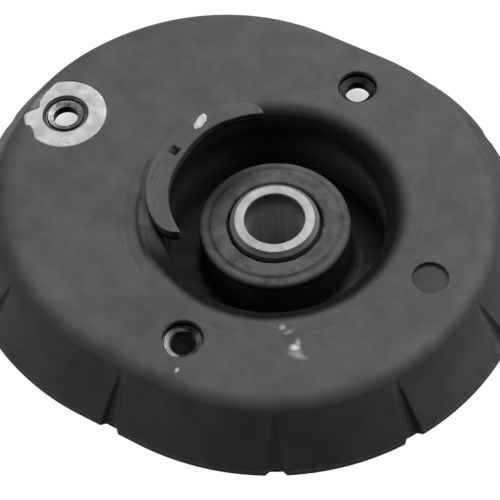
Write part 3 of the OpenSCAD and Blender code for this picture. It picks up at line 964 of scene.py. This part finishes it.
def sleeve_open(place):
    """Bright outside and on the end faces, dull inside the bore, and darker on the chamfer round the top."""
    far, height = np.hypot(place[:, 0], place[:, 1]), place[:, 2]
    bright = np.maximum(smooth_step(far, SLEEVE_BORE + 0.02, SLEEVE_BORE + 0.2),
                        smooth_step(height, SLEEVE_TOP - 0.35, SLEEVE_TOP - 0.2))
    return bright * (1 - 0.65 * smooth_step(far, SLEEVE_OUT - 1.1, SLEEVE_OUT - 0.85) * (height > 0))


make_piece("rod_sleeve", [turned(sleeve_profile(), 192, closed=True)], turned_steel(), "sleeve",
           ["inner_sleeve"], sharp=40, marks={"open": sleeve_open})


# Nuts

def nut_part(x, y, raised, count=144):
    """Weld nut: hexagon, pilot, a ring groove, a countersink and a screw thread, as one closed grid.

    The hexagon's radius is half its width over the cosine of the angle from the nearest flat. The
    thread is a wave in height less turn, so its crest climbs one pitch in each turn.
    """
    bottom, under, top = NUT_BOTTOM + raised, NUT_UNDER + raised, NUT_TOP + raised
    angle = around(count)
    flat = HEX / np.cos((angle % (math.pi / 3)) - math.pi / 6)
    climb = np.linspace(top - 0.65, bottom + 1.7, 40)
    lift = (climb[:, None] / PITCH - angle / (2 * math.pi)) % 1.0
    wave = np.clip(1.25 * np.abs(2 * lift - 1) - 0.12, 0, 1)
    thread = THREAD_CREST + (THREAD_ROOT - THREAD_CREST) * wave
    hexagon = [(SINK + 0.45, bottom), (HEX - 0.3, bottom), (np.minimum(flat, HEX + 0.45), bottom + 0.05),
               (np.minimum(flat, HEX + 0.95), bottom + 0.4), (flat, bottom + 0.55), (flat, under - 0.05),
               (np.minimum(flat, HEX + 0.8) - 0.08, under)]
    pilot = [(PILOT + 0.05, under), (PILOT, under + 0.1), (PILOT, top - 0.15), (PILOT - 0.13, top)]
    ring_groove = [(PILOT - 0.3, top), (PILOT - 0.37, top - 0.1), (PILOT - 0.45, top - 0.5),
                   (SINK + 0.35, top - 0.55), (SINK + 0.2, top - 0.1), (SINK + 0.1, top)]
    countersink = [(SINK, top), *line((SINK - 0.1, top - 0.05), (SINK - 0.85, top - 0.44), 4),
                   (THREAD_CREST + 0.1, top - 0.58)]
    rows = hexagon + pilot + ring_groove + countersink
    radius = np.concatenate([[0 * angle + row for row, _ in rows], thread,
                             [0 * angle + THREAD_CREST + 0.13]])
    height = np.concatenate([[row for _, row in rows], climb, [bottom + 1.65]])[:, None]
    return grid(spun(radius, height, angle, x, y), closed_u=True, closed_v=True)


def nut_reach(place, x, y, top):
    """Distance and direction from a nut's axis, and 1 above the nut's thread."""
    across, along = place[:, 0] - x, place[:, 1] - y
    above = smooth_step(place[:, 2], top - 0.72, top - 0.6)
    return np.hypot(across, along), np.arctan2(along, across), above


def end_nut_bare_and_highlight(place):
    """Bare metal all round the countersink and a little on the land outside it, more on the left as a painted
    highlight.
    """
    far, way, above = nut_reach(place, END, 0.0, NUT_TOP + END_RAISED)
    ring = smooth_step(np.cos(way - 3.36), -3.15, 0.2) * smooth_step(SINK + 0.2 - far, 0.0, 0.2)
    land = 0.15 * smooth_step(far, SINK + 0.15, SINK + 0.25)
    return 0.55 * above * np.maximum(ring, land)


def right_nut_bare_and_light(place):
    """Bare metal of the countersink, on its left as a painted highlight, a faint painted light patch across
    from it, and a little bare metal on the land.

    The bare band lies between two radii, the outer one larger on the left.
    """
    far, way, above = nut_reach(place, 0.0, -SIDE, NUT_TOP)
    left = np.cos(way - 3.36)
    outer = SINK - 0.6 + 0.8 * smooth_step(np.cos(way - 3.75), -0.4, 0.95)
    ring = smooth_step(left, -0.25, 0.2) * (1.45 - 0.9 * smooth_step(left, 0.2, 0.95))
    ring = ring * smooth_step(outer - far, 0.0, 0.2) * smooth_step(far, SINK - 0.95, SINK - 0.75)
    light_patch = 0.3 * smooth_step(np.cos(way), 0.2, 0.8)
    land = 0.25 * smooth_step(far, SINK + 0.15, SINK + 0.25)
    return 0.62 * above * np.maximum(np.maximum(ring, light_patch), land)


nut_finish = nut_steel()
for name, node, x, y, raised, marks in (("end_nut", "nut_end", END, 0.0, END_RAISED, {"cut": end_nut_bare_and_highlight}),
                                        ("left_nut", "nut_left", 0.0, SIDE, 0.0, {}),
                                        ("right_nut", "nut_right", 0.0, -SIDE, 0.0, {"cut": right_nut_bare_and_light})):
    make_piece(name, [nut_part(x, y, raised)], nut_finish, "mount", [node], sharp=38,
               marks=marks)


# End seat

def seat_profile():
    """Pressed ring with a hollow for the nut under it and broken edges."""
    return np.concatenate([
        [(SEAT_HOLLOW, SEAT_UNDER - 0.05), (SEAT_HOLLOW - 0.03, SEAT_FOOT + 0.1)],
        [(SEAT_HOLLOW + 0.1, SEAT_FOOT)], line((SEAT_HOLLOW + 0.15, SEAT_FOOT), (9.45, SEAT_FOOT), 3),
        arc(SEAT_RING - 0.2, SEAT_FOOT + 0.2, 0.2, -90, 0, 4),
        line((SEAT_RING, SEAT_FOOT + 0.5), (SEAT_RING, SEAT_TOP - 0.4), 5),
        arc(SEAT_RING - 0.3, SEAT_TOP - 0.3, 0.3, 0, 90, 5),
        line((9.0, SEAT_TOP), (SEAT_HOLE + 0.5, SEAT_TOP), 6),
        arc(SEAT_HOLE + 0.25, SEAT_TOP - 0.25, 0.25, 90, 180, 5),
        line((SEAT_HOLE, SEAT_TOP - 0.5), (SEAT_HOLE, SEAT_UNDER), 4), [(7.5, SEAT_UNDER)]])


def seat_part():
    """The ring's profile turned about the end fixing, drawn in where the rubber runs over it."""
    angle = around(SEAT_COUNT)
    radius, height = seat_profile().T[:, :, None]
    covered = (radius > 8.2) | ((radius > SEAT_HOLE + 0.1) & (height > SEAT_UNDER + 0.5))
    radius = np.where(covered, np.minimum(radius, seat_edge(angle) - 0.02), radius)
    return grid(spun(radius, height, angle, END), closed_u=True, closed_v=True)


make_piece("end_seat_ring", [lean_out(seat_part())], bare_steel(), "mount", ["end_seat"],
           sharp=40)

# Steel pressings keep their solids
plate_finish = coated_plate()
for node in ("core_plate", "bush_cup"):
    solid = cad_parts[node]
    solid.data.materials.clear()
    solid.data.materials.append(plate_finish)


# Floor, light and camera

def studio_floor():
    """Plain pale floor: white to the camera and in reflections, with a painted shadow close under the part.

    Close behind the part a fainter painted shadow dims it. It gives back a little light and is clear from
    below.
    """
    look = Shade("studio_floor")
    under = look.vector("ADD", look.place, (STRETCH / 2 * MM, 0, 0))
    far = look.measure("LENGTH", look.vector("MULTIPLY", under, (0.88, 1, 0)))
    # Painted shadow: the glow seen by the camera drops to near nothing under the part and a little behind it
    behind = look.ramp(look.measure("DOT_PRODUCT", look.place, -TOWARDS), 0.025, 0.04)
    shade = look.product(behind, look.ramp(far, 0.056, 0.062, 0.38, 0.0))
    level = look.maths("SUBTRACT", look.ramp(far, 0.036, 0.05, 0.008, 1.0), shade)
    glow = look.node("Emission", {"Color": grey(1.0), "Strength": look.maths("MAXIMUM", level, 0.008)})
    dim = look.node("BsdfDiffuse", {"Color": grey(0.02)})
    seen_floor = look.node("AddShader", {0: glow.outputs[0], 1: dim.outputs[0]})
    pale = look.node("BsdfDiffuse", {"Color": grey(0.15)})
    path = look.node("LightPath").outputs
    seen = look.maths("MAXIMUM", path["Is Camera Ray"], path["Is Glossy Ray"])
    seen = look.maths("MAXIMUM", seen, path["Is Transmission Ray"])
    upper = look.node("MixShader", {0: seen, 1: pale.outputs[0], 2: seen_floor.outputs[0]})
    clear = look.node("BsdfTransparent")
    below = look.node("NewGeometry").outputs["Backfacing"]
    both = look.node("MixShader", {0: below, 1: upper.outputs[0], 2: clear.outputs[0]})
    look.plug(look.tree.nodes["Material Output"].inputs["Surface"], both.outputs[0])
    look.tree.nodes.remove(look.shader)
    return look.material


floor_corners = [(x, y, FLOOR * MM) for x, y in ((-3, -3), (3, -3), (3, 3), (-3, 3))]
floor_mesh = bpy.data.meshes.new("floor")
floor_mesh.from_pydata(floor_corners, [], [(0, 1, 2, 3)])
floor_mesh.materials.append(studio_floor())
floor = put_in_scene("floor", floor_mesh)


def soft_lamp(name, place, size, power):
    """Square area lamp at a place in metres, turned to the origin."""
    lamp = bpy.data.lights.new(name, "AREA")
    lamp.shape = "SQUARE"
    lamp.size = size
    lamp.energy = power
    obj = put_in_scene(name, lamp)
    obj.location = place
    obj.rotation_euler = (-Vector(place)).to_track_quat("-Z", "Y").to_euler()


soft_lamp("overhead", (-0.106, 0.6, 0.856), 0.9, 11.0)
soft_lamp("left_side", (-0.8, -0.425, 0.423), 0.7, 2.2)
soft_lamp("right_side", (0.641, 0.641, 0.423), 0.7, 2.6)


def studio_sky():
    """Even white light from all round, weaker from the camera's side."""
    world = bpy.data.worlds.new("studio")
    world.use_nodes = True
    sky = Nodes(world.node_tree)
    way = sky.node("TexCoord").outputs["Generated"]
    nearness = sky.measure("DOT_PRODUCT", way, TOWARDS)
    background = sky.tree.nodes["Background"].inputs
    sky.plug(background["Color"], grey(1.0))
    sky.plug(background["Strength"], sky.ramp(nearness, -0.3, 0.8, 0.15, 0.015))
    return world


def photo_camera():
    """Camera at the photograph's angle and distance."""
    camera = bpy.data.cameras.new("photo_camera")
    camera.sensor_width = 36.0
    camera.lens = LENS
    camera.clip_start = 0.01
    obj = put_in_scene("photo_camera", camera)
    turn = Matrix((CAMERA_RIGHT, CAMERA_UP, CAMERA_BACK)).transposed().to_4x4()
    obj.matrix_world = Matrix.Translation(CAMERA_PLACE * MM) @ turn
    return obj


bpy.context.scene.world = studio_sky()
bpy.context.scene.camera = photo_camera()
bpy.context.scene.view_settings.view_transform = "Standard"
